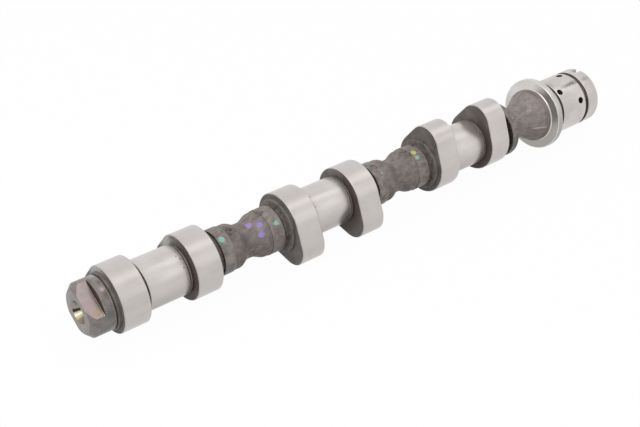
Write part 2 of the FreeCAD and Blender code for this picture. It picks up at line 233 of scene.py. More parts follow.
def new_group(name, inputs, outputs):
    """A node group with sockets given as {name: kind}: its tree, inputs and outputs."""
    tree = bpy.data.node_groups.new(name, "ShaderNodeTree")
    for direction, sockets in (("INPUT", inputs), ("OUTPUT", outputs)):
        for label, kind in sockets.items():
            tree.interface.new_socket(label, in_out=direction, socket_type="NodeSocket" + kind)
    given = add_node(tree, "NodeGroupInput")
    wanted = add_node(tree, "NodeGroupOutput")
    return tree, given.outputs, wanted.inputs


def use_group(tree, group, **values):
    """The outputs of a node group, placed in a tree with values or links for its inputs."""
    made = add_node(tree, "ShaderNodeGroup", node_tree=group)
    for name, value in values.items():
        feed(tree, made.inputs[name], value)
    return made.outputs


# Place on the shaft, in millimetres: the point, its station, its distance from the axis and the
# direction from the axis, as a vector of length 1.
shaft_place, given, wanted = new_group(
    "shaft_place", {}, {"Point": "Vector", "Along": "Float", "Radius": "Float", "Round": "Vector"})
own_place = add_node(shaft_place, "ShaderNodeTexCoord").outputs["Object"]
point = vector_calc(shaft_place, "MULTIPLY", own_place, 1.0 / METRES)
from_axis = vector_calc(shaft_place, "MULTIPLY", point, (0.0, 1.0, 1.0))
parts = add_node(shaft_place, "ShaderNodeSeparateXYZ")
feed(shaft_place, parts.inputs[0], point)
feed(shaft_place, wanted["Point"], point)
feed(shaft_place, wanted["Along"], parts.outputs["X"])
feed(shaft_place, wanted["Radius"], vector_calc(shaft_place, "LENGTH", from_axis, result="Value"))
feed(shaft_place, wanted["Round"], vector_calc(shaft_place, "NORMALIZE", from_axis))

# Lines that a tool leaves across a distance, along the shaft or out from its axis: noise of that
# distance alone, stronger and weaker from place to place.
PATCH_OF_LINES, LINE_STRENGTH = 6.0, 2.6
tool_lines, given, wanted = new_group(
    "tool_lines", {"Point": "Vector", "Distance": "Float", "Spacing": "Float"},
    {"Lines": "Float"})
line = add_node(tool_lines, "ShaderNodeTexNoise", (("Scale", 1.0), ("Detail", 4.0)),
                noise_dimensions="1D")
feed(tool_lines, line.inputs["W"],
     calc(tool_lines, "DIVIDE", given["Distance"], given["Spacing"]))
strong = calc(tool_lines, "MULTIPLY", noise(tool_lines, given["Point"], PATCH_OF_LINES),
              LINE_STRENGTH)
offset = calc(tool_lines, "SUBTRACT", line.outputs["Fac"], 0.5)
feed(tool_lines, wanted["Lines"],
     calc(tool_lines, "MULTIPLY_ADD", offset, calc(tool_lines, "POWER", strong, 2.0), 0.5))

# Clouded patches of two shades with lumps of a chosen size.
CLOUD_EDGES = (0.33, 0.67)
mottle, given, wanted = new_group(
    "mottle", {"Point": "Vector", "Size": "Vector"}, {"Amount": "Float"})
feed(mottle, wanted["Amount"],
     rise(mottle, noise(mottle, given["Point"], given["Size"], 5.0), *CLOUD_EDGES))

# Scattered specks: round spots in the cells of a lattice, of which only a share is filled.
SPECK_EDGES = (0.16, 0.36)
specks, given, wanted = new_group(
    "specks", {"Point": "Vector", "Size": "Vector", "Share": "Float"}, {"Mask": "Float"})
cells = add_node(specks, "ShaderNodeTexVoronoi", (("Scale", 1.0),))
feed(specks, cells.inputs["Vector"], vector_calc(specks, "DIVIDE", given["Point"], given["Size"]))
chance = add_node(specks, "ShaderNodeSeparateColor")
feed(specks, chance.inputs[0], cells.outputs["Color"])
filled = calc(specks, "LESS_THAN", chance.outputs[0], given["Share"])
close = calc(specks, "SUBTRACT", 1.0, rise(specks, cells.outputs["Distance"], *SPECK_EDGES))
feed(specks, wanted["Mask"], calc(specks, "MULTIPLY", filled, close))

# A dab round a place on the shaft. Its reach is a vector, so it can be longer one way than
# another, and noise moves its edge in and out.
EDGE_LUMPS, EDGE_WANDER = 0.9, 1.28
dab, given, wanted = new_group(
    "dab", {"Point": "Vector", "Place": "Vector", "Reach": "Vector", "Softness": "Float"},
    {"Mask": "Float"})
offset = vector_calc(dab, "SUBTRACT", given["Point"], given["Place"])
away = vector_calc(dab, "DIVIDE", offset, given["Reach"])
away = vector_calc(dab, "LENGTH", away, result="Value")
edge = calc(dab, "MULTIPLY_ADD", noise(dab, given["Point"], EDGE_LUMPS), EDGE_WANDER,
            1.0 - EDGE_WANDER / 2.0)
inner = calc(dab, "MULTIPLY", edge, calc(dab, "SUBTRACT", 1.0, given["Softness"]))
feed(dab, wanted["Mask"], calc(dab, "SUBTRACT", 1.0, rise(dab, away, inner, edge)))

# The side that faces one way: 0 up to one cosine of the angle between, and 1 from another.
sector, given, wanted = new_group(
    "sector", {"Round": "Vector", "Towards": "Vector", "Start": "Float", "Full": "Float"},
    {"Mask": "Float"})
facing = vector_calc(sector, "DOT_PRODUCT", given["Round"], given["Towards"], result="Value")
feed(sector, wanted["Mask"], rise(sector, facing, given["Start"], given["Full"]))

# A band round the shaft: 1 within an inner distance of a station and 0 beyond an outer one.
band, given, wanted = new_group(
    "band", {"Along": "Float", "Station": "Float", "Inner": "Float", "Outer": "Float"},
    {"Mask": "Float"})
off = calc(band, "ABSOLUTE", calc(band, "SUBTRACT", given["Along"], given["Station"]))
feed(band, wanted["Mask"],
     calc(band, "SUBTRACT", 1.0, rise(band, off, given["Inner"], given["Outer"])))


def cloud_mask(tree, place, size):
    """Clouds with lumps of a size. A size or a reach is one number or three, along the axes."""
    return use_group(tree, mottle, Point=place["Point"], Size=size)["Amount"]


def speck_mask(tree, place, size, share):
    """Specks in a share of the cells of a size."""
    return use_group(tree, specks, Point=place["Point"], Size=size, Share=share)["Mask"]


def dab_mask(tree, place, centre, reach, softness):
    """A dab round a centre, with the reach of its edge."""
    return use_group(tree, dab, Point=place["Point"], Place=centre, Reach=reach,
                     Softness=softness)["Mask"]


def side_mask(tree, place, angle, half_width, softness):
    """1 on the side of the shaft that an angle points to, within a half width in degrees."""
    start, full = (math.cos(math.radians(half_width + more)) for more in (softness, -softness))
    return use_group(tree, sector, Round=place["Round"], Towards=outwards(angle), Start=start,
                     Full=full)["Mask"]


def band_mask(tree, place, station, inner, outer):
    """A band about a station, with its inner and outer distances."""
    return use_group(tree, band, Along=place["Along"], Station=station, Inner=inner,
                     Outer=outer)["Mask"]


OXIDE_MIRRORING = 0.2
skins = {}


def iron_sockets(tree):
    """The inputs of a material's shader."""
    return tree.nodes["Principled BSDF"].inputs


def new_skin(finish, metallic):
    """The material of one finish: its tree and the place on the shaft.

    Where the iron isn't bright, its surface is oxide, which mirrors little.
    """
    material = bpy.data.materials.new("iron_" + finish)
    material.use_nodes = True
    skins[finish] = material
    tree = material.node_tree
    iron_sockets(tree)["Metallic"].default_value = metallic
    iron_sockets(tree)["Specular IOR Level"].default_value = OXIDE_MIRRORING
    return tree, use_group(tree, shaft_place)


def repaint(tree, colour):
    """Puts another colour on a surface in place of the one that it has."""
    feed(tree, iron_sockets(tree)["Base Color"], colour)


def dress(tree, colour, roughness, height, depth):
    """Gives a material its colour, its roughness and a bump with a depth in millimetres."""
    repaint(tree, colour)
    feed(tree, iron_sockets(tree)["Roughness"], roughness)
    bump = add_node(tree, "ShaderNodeBump", (("Distance", depth * METRES),))
    feed(tree, bump.inputs["Height"], height)
    feed(tree, iron_sockets(tree)["Normal"], bump.outputs["Normal"])


SPECK_SIZE, SPECK_STRENGTH = 1.3, 0.55


def worked_skin(finish, metallic, light, dark, shading, facing="Along", spacing=0.5, lump=6.0,
                lines_share=0.12, speck_tone=(70, 60, 54), speck_share=0.1, depth=0.02):
    """A turned, ground or faced surface: clouds of two tones, tool lines and a few dark specks.

    The shading is (lowest, highest) roughness. The lines run across the station or the radius.
    """
    tree, place = new_skin(finish, metallic)
    clouds = cloud_mask(tree, place, lump)
    lines = use_group(tree, tool_lines, Point=place["Point"], Distance=place[facing],
                      Spacing=spacing)["Lines"]
    spots = speck_mask(tree, place, SPECK_SIZE, speck_share)
    colour = mix_tones(tree, clouds, tone(*dark), tone(*light))
    lined = scaled(tree, colour,
                   calc(tree, "MULTIPLY_ADD", lines, lines_share, 1.0 - lines_share / 2.0))
    spotted = tint(tree, lined, spots, SPECK_STRENGTH, speck_tone)
    low, high = shading
    roughness = calc(tree, "MULTIPLY_ADD", calc(tree, "MULTIPLY", clouds, lines), high - low, low)
    height = calc(tree, "SUBTRACT", calc(tree, "MULTIPLY", lines, lines_share), spots)
    dress(tree, spotted, roughness, height, depth)
    return tree, place, spotted


worked_skin("bore", 0.7, (104, 97, 91), (78, 71, 66), (0.4, 0.6))

# The cone of the centre hole is bright steel grey, with painted reflections, dark and light
# in turn, in wedges that run to its point. Each wedge is (angle, half width, tone).
HOLE_REFLECTION_WEDGES = (
    (-22.0, 8.0, (66, 54, 42)), (-42.0, 10.0, (196, 194, 174)),
    (-62.0, 10.0, (142, 134, 102)), (-98.0, 26.0, (142, 130, 122)),
)
WEDGE_SOFTNESS = 3.0
tree, place, colour = worked_skin(
    "centre", 0.9, (160, 156, 151), (144, 140, 135), (0.3, 0.4), "Radius", lines_share=0.05)
# Each wedge lays a painted reflection over the grey.
for angle, half_width, wedge in HOLE_REFLECTION_WEDGES:
    mirrored = side_mask(tree, place, angle, half_width, WEDGE_SOFTNESS)
    colour = mix_tones(tree, mirrored, colour, tone(*wedge))
repaint(tree, colour)

# The boss is turned but not ground: grey, with rosy and bluish clouds and a few rust-brown specks.
# Its largest clouds are (place, reach, tone), and its finishes are (name, lines, light, dark).
ROSY, BLUISH = (158, 138, 134), (120, 130, 128)
BOSS_CLOUDS = (
    ((-348.0, 4.0, 13.6), 4.5, (184, 180, 176)), ((-347.9, -3.0, 13.9), 2.6, (120, 104, 102)),
    ((-348.2, -9.4, 10.6), 3.4, (116, 104, 102)), ((-349.0, -7.0, 12.4), 1.7, (206, 188, 188)),
    ((-349.5, -14.0, 2.0), 6.0, (104, 110, 104)), ((-354.0, -13.6, -2.0), 4.5, (142, 134, 131)),
)
BOSS_FINISHES = (
    ("boss_end", "Radius", (166, 161, 156), (134, 128, 124)),
    ("boss_chamfer", "Radius", (144, 137, 133), (122, 115, 111)),
    ("boss", "Along", (154, 148, 145), (118, 114, 110)),
)
for finish, facing, light, dark in BOSS_FINISHES:
    tree, place, colour = worked_skin(finish, 0.5, light, dark, (0.32, 0.52), facing, 0.7, 4.0,
                                      speck_share=0.16)
    colour = tint(tree, colour, cloud_mask(tree, place, (7.0, 3.0, 3.0)), 0.35, ROSY)
    colour = tint(tree, colour, cloud_mask(tree, place, (3.0, 5.0, 4.0)), 0.25, BLUISH)
    for centre, reach, cloud in BOSS_CLOUDS:
        colour = tint(tree, colour, dab_mask(tree, place, centre, reach, 1.0), 0.8, cloud)
    repaint(tree, colour)

# Nothing has cleaned the iron at the bottom of the gaps and recesses, so it stays dull and brown.
# The gap's dark tone is also painted shade on the floor's stretch beside a collar. The rings beside
# the cams and the ridges' edges have had a turning tool over them.
worked_skin("gap", 0.1, (112, 102, 94), (76, 68, 61), (0.5, 0.7), "Along", 0.8, 3.0,
            speck_tone=(132, 120, 108), speck_share=0.3)
worked_skin("recess", 0.1, (134, 127, 122), (102, 95, 90), (0.5, 0.65), "Along", 0.8, 3.0,
            speck_tone=(196, 190, 184), speck_share=0.3)
worked_skin("ring", 0.2, (128, 122, 118), (104, 98, 94), (0.42, 0.55), "Radius", 0.5, 5.0,
            speck_tone=(160, 154, 150), speck_share=0.2)
worked_skin("ridge", 0.5, (160, 152, 146), (138, 130, 124), (0.4, 0.55))

# The surface is laid as rings of points, from the bottom of the centre hole, round the outside and
# back into the bolt bore.
COLUMNS = 240
around = np.linspace(0.0, 2.0 * math.pi, COLUMNS, endpoint=False)
rings = []


def lay_ring(x, radius, finish):
    """One ring of the surface: a station, a radius for each column and the finish that follows."""
    radii = np.broadcast_to(radius, COLUMNS).astype(float)
    rings.append((np.full(COLUMNS, float(x)), radii, finish))


def lay_turned(points, break_size=0.12):
    """Turned surfaces from (x, radius, finish) corners.

    Each corner gives way to two rings, set back from it along both of its sides by the break's
    size or by a third of the side, whichever is less. The first and the last corner stay as
    they are, because the next stretch of surface joins on.
    """
    lay_ring(*points[0])
    for before, corner, after in zip(points, points[1:], points[2:]):
        at = np.array(corner[:2])
        for side in (before, after):
            step = np.array(side[:2]) - at
            length = np.linalg.norm(step)
            x, radius = at + step / length * min(break_size, length / 3.0)
            lay_ring(x, radius, corner[2])
    lay_ring(*points[-1])


REAR_END, REAR_CAM_FACE = -359.7, -344.5
CENTRE_MOUTH, CENTRE_BORE = 6.2, 2.7
CENTRE_CONE_END, CENTRE_BORE_END, CENTRE_DRILL_TIP = -353.638, -347.7, -346.078
BOSS_RADIUS, BOSS_CHAMFER, BOSS_FRONT = 14.2, 2.9, -347.0
BOSS_EDGE, NECK_RADIUS = 0.4, 13.7
RING_RADIUS, RING_WIDTH, RING_BEVEL = 14.9, 1.8, 0.5
lay_turned([
    (CENTRE_DRILL_TIP, 0.0, "bore"),
    (CENTRE_BORE_END, CENTRE_BORE, "bore"),
    (CENTRE_CONE_END, CENTRE_BORE, "centre"),
    (REAR_END, CENTRE_MOUTH, "boss_end"),
    (REAR_END, BOSS_RADIUS - BOSS_CHAMFER, "boss_chamfer"),
    (REAR_END + BOSS_CHAMFER, BOSS_RADIUS, "boss"),
    (BOSS_FRONT - BOSS_EDGE, BOSS_RADIUS, "ridge"),
    (BOSS_FRONT, BOSS_RADIUS, "gap"),
    (BOSS_FRONT, NECK_RADIUS, "gap"),
    (REAR_CAM_FACE - RING_WIDTH, NECK_RADIUS, "gap"),
    (REAR_CAM_FACE - RING_WIDTH, RING_RADIUS - RING_BEVEL, "ring"),
    (REAR_CAM_FACE - RING_WIDTH + RING_BEVEL, RING_RADIUS, "ring"),
    (REAR_CAM_FACE, RING_RADIUS, "side"),
])

# The bearing journals and the cams beside them: chilled iron, ground all round to a fine finish.
# A cam's outline is a base circle, a nose circle and two straight flanks that touch both.
PAIR_STATIONS = (-316.5, -213.5, -110.5)
PAIR_PHASES = (-19.4, 220.6, 100.6)
PAIR_HALF, CAM_WIDTH = 28.0, 14.5
BASE_RADIUS, NOSE_RADIUS, NOSE_OFFSET = 17.7, 11.2, 12.9
CAM_BREAK = 0.4

worked_skin("edge", 0.9, (192, 187, 183), (178, 173, 169), (0.5, 0.6), lines_share=0.04,
            speck_share=0.0, depth=0.006)
# Painted light: the journals' edge bevels are near white and not metallic, to light them up where
# they lie in the shade between cam and journal. Their tan specks are the iron's own.
worked_skin("journal_edge_painted_light", 0.0, (250, 246, 240), (240, 234, 226), (0.5, 0.6), lines_share=0.04,
            speck_tone=(150, 130, 96), speck_share=0.3, depth=0.006)


def ground_skin(finish, metallic, light, dark, lump, speck_share, streak, polish, shiny):
    """A ground surface: fine lines, and streaks of a shinier tone where it is polished most."""
    tree, place, colour = worked_skin(
        finish, metallic, light, dark, (0.29, 0.37), spacing=0.6, lump=lump, lines_share=0.035,
        speck_share=speck_share, depth=0.0015)
    colour = tint(tree, colour, cloud_mask(tree, place, streak), polish, shiny)
    return tree, place, colour


# The ground finishes are (name, metallic, strength of the painted shade on the underside, light,
# dark, tone of the polish, width of its streaks). Small pits show where the ground surface runs
# out, as (station, reach, share of cells, tone). Sides of the shaft are (angle, half width,
# softness).
GROUND_FINISHES = (
    ("ground", 0.9, 0.3, (205, 199, 196), (197, 191, 188), (207, 201, 198), 1.3),
    ("journal", 0.75, 0.9, (214, 208, 205), (206, 200, 197), (224, 219, 215), 3.0),
)
PITTED_ENDS = ((-307.0, 2.2, 0.35, (84, 68, 58)), (-223.9, 1.1, 1.0, (132, 112, 80)))
PITTED_SIDE, SHADED_UNDERSIDE = (130.0, 21.0, 4.0), (250.0, 60.0, 26.0)
UNDERSIDE_SHADE_GREY = (184, 178, 174)
for finish, metallic, underside_shade, light, dark, shiny, streak in GROUND_FINISHES:
    tree, place, colour = ground_skin(finish, metallic, light, dark, 11.0, 0.002,
                                      (24.0, streak, streak), 0.4, shiny)
    pitted_side = side_mask(tree, place, *PITTED_SIDE)
    for station, reach, share, pit_tone in PITTED_ENDS:
        end = band_mask(tree, place, station, reach * 0.6, reach)
        end = calc(tree, "MULTIPLY", end, pitted_side)
        pits = speck_mask(tree, place, (1.1, 1.6, 1.6), share)
        colour = tint(tree, colour, pits, end, pit_tone)
    # The underside is painted greyer: painted shade on the side facing down.
    colour = tint(tree, colour, side_mask(tree, place, *SHADED_UNDERSIDE), underside_shade, UNDERSIDE_SHADE_GREY)
    repaint(tree, colour)

# The side faces are faced off dark, with stains and the rings of the facing tool. Those that look
# at a journal are darker and browner round it on the half that faces -Y, and two have pale patches
# of painted light near their tops, as (place, reach).
SIDE_FINISHES = (("side", 0.0), ("inner_side", 0.8))
BROWNED_SIDE, BROWN_REACH = (185.0, 85.0, 18.0), (16.0, 21.0)
STAIN, BROWN, PALE = (104, 90, 86), (94, 80, 76), (200, 198, 193)
PAINTED_LIGHT_PATCHES = (((-344.5, 8.0, 15.5), 12.5), ((-303.0, 12.5, 11.0), 10.0))
for finish, browning in SIDE_FINISHES:
    tree, place, colour = worked_skin(finish, 0.1, (134, 129, 126), (114, 109, 106), (0.5, 0.65),
                                      "Radius", 0.6, speck_share=0.12)
    colour = tint(tree, colour, cloud_mask(tree, place, 4.0), 0.35, STAIN)
    near_journal = calc(tree, "SUBTRACT", 1.0, rise(tree, place["Radius"], *BROWN_REACH))
    browned = calc(tree, "MULTIPLY", side_mask(tree, place, *BROWNED_SIDE), near_journal)
    colour = tint(tree, colour, browned, browning, BROWN)
    # The pale patches are painted light on the upper part of the faces.
    for centre, reach in PAINTED_LIGHT_PATCHES:
        colour = tint(tree, colour, dab_mask(tree, place, centre, reach, 0.8), 0.9, PALE)
    repaint(tree, colour)


def cam_radius(phase):
    """The cam's radius in every column.

    It is the base radius up to the flank's normal, then base / cos(angle from that normal) along
    the flank, then offset * cos(angle) + sqrt(nose^2 - offset^2 * sin^2(angle)) over the nose.
    """
    angle = np.abs((around - math.radians(phase) + math.pi) % (2.0 * math.pi) - math.pi)
    lean = math.acos((BASE_RADIUS - NOSE_RADIUS) / NOSE_OFFSET)
    crown = math.atan2(NOSE_RADIUS * math.sin(lean), NOSE_OFFSET + NOSE_RADIUS * math.cos(lean))
    flank = BASE_RADIUS / np.cos(np.minimum(np.abs(angle - lean), 1.0))
    inside = np.maximum(NOSE_RADIUS ** 2 - (NOSE_OFFSET * np.sin(angle)) ** 2, 0.0)
    nose = NOSE_OFFSET * np.cos(angle) + np.sqrt(inside)
    return np.where(angle > lean, BASE_RADIUS, np.where(angle > crown, flank, nose))


def lay_cam(start, phase):
    """A cam from one side face to the other, with both of its edges broken by a small bevel."""
    outline = cam_radius(phase)
    lay_ring(start, outline - CAM_BREAK, "edge")
    lay_ring(start + CAM_BREAK, outline, "ground")
    lay_ring(start + CAM_WIDTH - CAM_BREAK, outline, "edge")
    lay_ring(start + CAM_WIDTH, outline - CAM_BREAK, "side")


JOURNAL_RADIUS, JOURNAL_HALF, JOURNAL_BREAK = 13.475, 11.2, 0.3
RELIEF_RADIUS = 12.6
RIDGE_RADIUS, RIDGE_START, RIDGE_STOP = 13.1, 11.9, 12.7


def lay_journal(station):
    """A journal with its ridged reliefs, given for one half as (distance, radius, finish)."""
    half = [
        (PAIR_HALF - CAM_WIDTH, RELIEF_RADIUS, "gap"), (RIDGE_STOP, RELIEF_RADIUS, "gap"),
        (RIDGE_STOP, RIDGE_RADIUS, "ridge"), (RIDGE_START, RIDGE_RADIUS, "gap"),
        (RIDGE_START, RELIEF_RADIUS, "gap"), (JOURNAL_HALF, RELIEF_RADIUS, "ring"),
        (JOURNAL_HALF, JOURNAL_RADIUS - JOURNAL_BREAK, "journal_edge_painted_light"),
        (JOURNAL_HALF - JOURNAL_BREAK, JOURNAL_RADIUS, "journal"),
    ]
    first = [(station - distance, radius, finish) for distance, radius, finish in half]
    following = [finish for _, _, finish in half[-2::-1]] + ["inner_side"]
    second = [(station + distance, radius, finish)
              for (distance, radius, _), finish in zip(half[::-1], following)]
    lay_turned(first + second, 0.1)


# The turned bands and cast sections between the pairs: the mould's brown-grey skin, with a
# necked waist, is left between two bands that a lathe tool has cleaned up beside the cams.
BAND_RADIUS, BARREL_RADIUS, WAIST_RADIUS = 12.6, 12.2, 9.7
CAST_STEP = 0.6

# Skin of the casting: patches of two tones with a fine grain, pale grains, brown pits and bumps.
GRAIN_SIZE, PIT_SIZE = 0.9, 1.6
ROSY_BROWN, PALE_GRAIN, PIT_BROWN = (136, 120, 117), (160, 152, 146), (62, 52, 46)
cast_skin, given, wanted = new_group(
    "cast_skin", {"Point": "Vector", "Light": "Color", "Dark": "Color"},
    {"Color": "Color", "Roughness": "Float", "Height": "Float"})
patches = cloud_mask(cast_skin, given, (3.4, 2.6, 2.6))
grain = noise(cast_skin, given["Point"], GRAIN_SIZE, 3.0)
pale = speck_mask(cast_skin, given, 1.4, 0.08)
pitted = speck_mask(cast_skin, given, PIT_SIZE, 0.05)
colour = mix_tones(cast_skin, patches, given["Dark"], given["Light"])
colour = tint(cast_skin, colour, cloud_mask(cast_skin, given, (8.0, 6.0, 6.0)), 0.25, ROSY_BROWN)
colour = scaled(cast_skin, colour, calc(cast_skin, "MULTIPLY_ADD", grain, 0.5, 0.75))
colour = tint(cast_skin, colour, pale, 0.4, PALE_GRAIN)
colour = tint(cast_skin, colour, pitted, 0.6, PIT_BROWN)
feed(cast_skin, wanted["Color"], colour)
feed(cast_skin, wanted["Roughness"], calc(cast_skin, "MULTIPLY_ADD", patches, -0.16, 0.66))
feed(cast_skin, wanted["Height"], calc(cast_skin, "SUBTRACT", grain, pitted))

# Broad painted light and shade on the castings: lighter and darker patches, as (place, reach,
# tone).
CAST_PAINTED_LIGHT_AND_SHADE = (
    ((-275.1, -6.5, 10.3), 5.0, (112, 104, 99)), ((-268.7, -8.5, 6.2), 5.0, (112, 103, 98)),
    ((-281.0, -12.4, 1.0), 4.5, (186, 180, 175)), ((-257.9, -8.4, 8.9), 4.0, (168, 158, 156)),
    ((-145.8, -11.1, 5.9), 3.5, (116, 110, 106)),
)
# Where the sand broke away: dark, finely pitted patches, as (place, reach).
SAND_GREY, SAND_PIT = (84, 76, 72), (44, 37, 33)
SAND_PATCHES = (
    ((-275.1, -3.2, 11.7), 4.2), ((-254.1, -0.1, 12.2), 3.4),
    ((-176.7, -2.6, 12.3), 3.0), ((-152.9, -2.5, 11.9), 4.2),
)
# Inspectors' dabs of paint on the bands and on the first casting, as (place, reach, tone).
VIOLET, MINT, ROSE = (180, 154, 228), (160, 222, 200), (160, 122, 122)
PALE_GREEN, YELLOW, INK = (178, 206, 188), (222, 222, 120), (70, 56, 96)
PAINT_DABS = (
    ((-262.4, -3.1, 10.1), 2.0, VIOLET), ((-257.8, -6.6, 10.2), 1.7, VIOLET),
    ((-259.6, -10.2, 6.3), 2.0, VIOLET),
    ((-281.2, -6.3, 10.9), 1.8, MINT), ((-279.6, -3.3, 12.1), 0.8, ROSE),
    ((-249.3, -9.0, 8.7), 1.5, MINT), ((-251.2, -10.6, 6.6), 1.0, ROSE),
    ((-178.1, -5.9, 11.1), 0.9, ROSE), ((-174.7, -7.4, 10.2), 1.1, PALE_GREEN),
    ((-148.2, -4.0, 11.9), 1.9, YELLOW), ((-148.5, -7.4, 10.1), 1.5, PALE_GREEN),
    ((-143.8, 1.6, 12.5), 1.4, INK), ((-145.8, -6.0, 11.1), 0.6, ROSE),
)


def cast_finish(finish, metallic, light, dark, depth=0.05):
    """Iron as the mould left it or as a first cut left it, with patches, dabs and a bumpy skin."""
    tree, place = new_skin(finish, metallic)
    skin = use_group(tree, cast_skin, Point=place["Point"], Light=tone(*light), Dark=tone(*dark))
    colour, bare = skin["Color"], metallic
    # Painted light and shade: broad lighter and darker patches.
    for centre, reach, shade in CAST_PAINTED_LIGHT_AND_SHADE:
        colour = tint(tree, colour, dab_mask(tree, place, centre, reach, 1.0), 0.7, shade)
    pits = speck_mask(tree, place, PIT_SIZE, 1.0)
    for centre, reach in SAND_PATCHES:
        patch = dab_mask(tree, place, centre, reach, 0.4)
        colour = tint(tree, colour, patch, 0.35, SAND_GREY)
        colour = tint(tree, colour, patch, pits, SAND_PIT)
    for centre, reach, paint in PAINT_DABS:
        painted = dab_mask(tree, place, centre, reach, 0.25)
        colour = mix_tones(tree, painted, colour, tone(*paint))
        bare = calc(tree, "MULTIPLY", bare, calc(tree, "SUBTRACT", 1.0, painted))
    feed(tree, iron_sockets(tree)["Metallic"], bare)
    dress(tree, colour, skin["Roughness"], skin["Height"], depth)
    return tree, place, colour


cast_finish("cast", 0.1, (155, 146, 141), (134, 125, 120))

# The cone has a pale line, where the mould's halves met, and a few pale flecks, as (place, reach,
# share of the cells that are pale).
FLASH_TONE = (212, 205, 199)
CONE_MARKS = (
    ((-50.6, -13.5, -1.6), (7.5, 4.6, 0.6), 1.0),
    ((-54.8, -7.0, 9.4), 2.4, 0.6), ((-53.0, -9.4, 7.0), 6.0, 0.12),
)
tree, place, colour = cast_finish("cone", 0.1, (176, 166, 162), (156, 146, 142))
for centre, reach, share in CONE_MARKS:
    pale = dab_mask(tree, place, centre, reach, 0.4)
    if share < 1.0:
        pale = calc(tree, "MULTIPLY", pale, speck_mask(tree, place, PIT_SIZE, share))
    colour = mix_tones(tree, pale, colour, tone(*FLASH_TONE))
repaint(tree, colour)
cast_finish("collar", 0.3, (166, 159, 154), (138, 131, 126), 0.03)

WAVES, SHORTEST_WAVE, LONGEST_WAVE = 40, 1.6, 7.0
cast_waves = np.random.default_rng(11)
wave_turns = cast_waves.normal(size=(WAVES, 3))
wave_lengths = cast_waves.uniform(SHORTEST_WAVE, LONGEST_WAVE, WAVES)
wave_turns *= (2.0 * math.pi / wave_lengths / np.linalg.norm(wave_turns, axis=1))[:, None]
wave_shifts = cast_waves.uniform(0.0, 2.0 * math.pi, WAVES)


def ring_places(x, radius, angles):
    """Points (x, radius * cos(angle), radius * sin(angle))."""
    return np.stack([x, radius * np.cos(angles), radius * np.sin(angles)], axis=-1)


def cast_unevenness(x, radius):
    """Skin of the mould: the mean of forty plane sine waves through space."""
    return np.sin(ring_places(x, radius, around) @ wave_turns.T + wave_shifts).mean(axis=-1)


SKIN_FADE, PARTING_WIDTH = 0.8, 0.35


def lay_cast(points, easing, unevenness, parting, finish="cast"):
    """A cast stretch through (x, radius) points, eased by a cosine between neighbours.

    An easing of 1 leaves every point level, and 0 goes straight.
    The radius gets the skin's unevenness, which fades out at both ends, and a thin raised line
    at each parting angle, where the two halves of the mould met.
    """
    stations, radii = np.array(points).T
    count = int(round((stations[-1] - stations[0]) / CAST_STEP))
    for x in np.linspace(stations[0], stations[-1], count + 1):
        piece = min(max(int(np.searchsorted(stations, x)) - 1, 0), len(points) - 2)
        share = (x - stations[piece]) / (stations[piece + 1] - stations[piece])
        share += easing * (0.5 - 0.5 * math.cos(math.pi * share) - share)
        radius = radii[piece] + (radii[piece + 1] - radii[piece]) * share
        fade = min(1.0, (x - stations[0]) / SKIN_FADE, (stations[-1] - x) / SKIN_FADE)
        skin = radius + unevenness * fade * cast_unevenness(np.full(COLUMNS, x), radius)
        for angle, height in parting:
            off = (around - math.radians(angle) + math.pi) % (2.0 * math.pi) - math.pi
            skin += height * fade * np.exp(-(off * radius / PARTING_WIDTH) ** 2)
        lay_ring(x, skin, finish)


GAP_RADIUS, GAP_END, RECESS_END = 11.4, 4.7, 3.3
REAR_BAND_END, FRONT_BAND_END, BAND_EDGE = 11.2, 12.2, 0.5


def lay_between(rear_face, front_face):
    """All that lies between the front cam of one pair and the rear cam of the next."""
    start, stop = rear_face + REAR_BAND_END, front_face - FRONT_BAND_END
    lay_turned([
        (rear_face, RING_RADIUS, "ring"),
        (rear_face + RING_WIDTH - RING_BEVEL, RING_RADIUS, "ring"),
        (rear_face + RING_WIDTH, RING_RADIUS - RING_BEVEL, "gap"),
        (rear_face + RING_WIDTH, GAP_RADIUS, "recess"),
        (rear_face + GAP_END, GAP_RADIUS, "gap"), (rear_face + GAP_END, BAND_RADIUS, "collar"),
        (start - BAND_EDGE, BAND_RADIUS, "ridge"), (start, BAND_RADIUS, "cast"),
    ])
    lay_cast([
        (start, BARREL_RADIUS), (start + 4.2, BARREL_RADIUS), (start + 10.8, WAIST_RADIUS),
        (stop - 10.0, WAIST_RADIUS), (stop - 2.6, BARREL_RADIUS), (stop, BARREL_RADIUS),
    ], 1.0, 0.26, ((3.0, 0.08), (181.0, 0.08)))
    lay_turned([
        (stop, BAND_RADIUS, "ridge"), (stop + BAND_EDGE, BAND_RADIUS, "collar"),
        # The floor's first stretch beside this collar has the dark gap finish as painted shade.
        (front_face - GAP_END, BAND_RADIUS, "gap"), (front_face - GAP_END, GAP_RADIUS, "gap"),
        (front_face - RECESS_END, GAP_RADIUS, "recess"),
        (front_face - RING_WIDTH, GAP_RADIUS, "recess"),
        (front_face - RING_WIDTH, RING_RADIUS - RING_BEVEL, "ring"),
        (front_face - RING_WIDTH + RING_BEVEL, RING_RADIUS, "ring"),
        (front_face, RING_RADIUS, "side"),
    ])


for number, (station, phase) in enumerate(zip(PAIR_STATIONS, PAIR_PHASES)):
    if number:
        lay_between(PAIR_STATIONS[number - 1] + PAIR_HALF, station - PAIR_HALF)
    lay_cam(station - PAIR_HALF, phase)
    lay_journal(station)
    lay_cam(station + PAIR_HALF - CAM_WIDTH, phase)

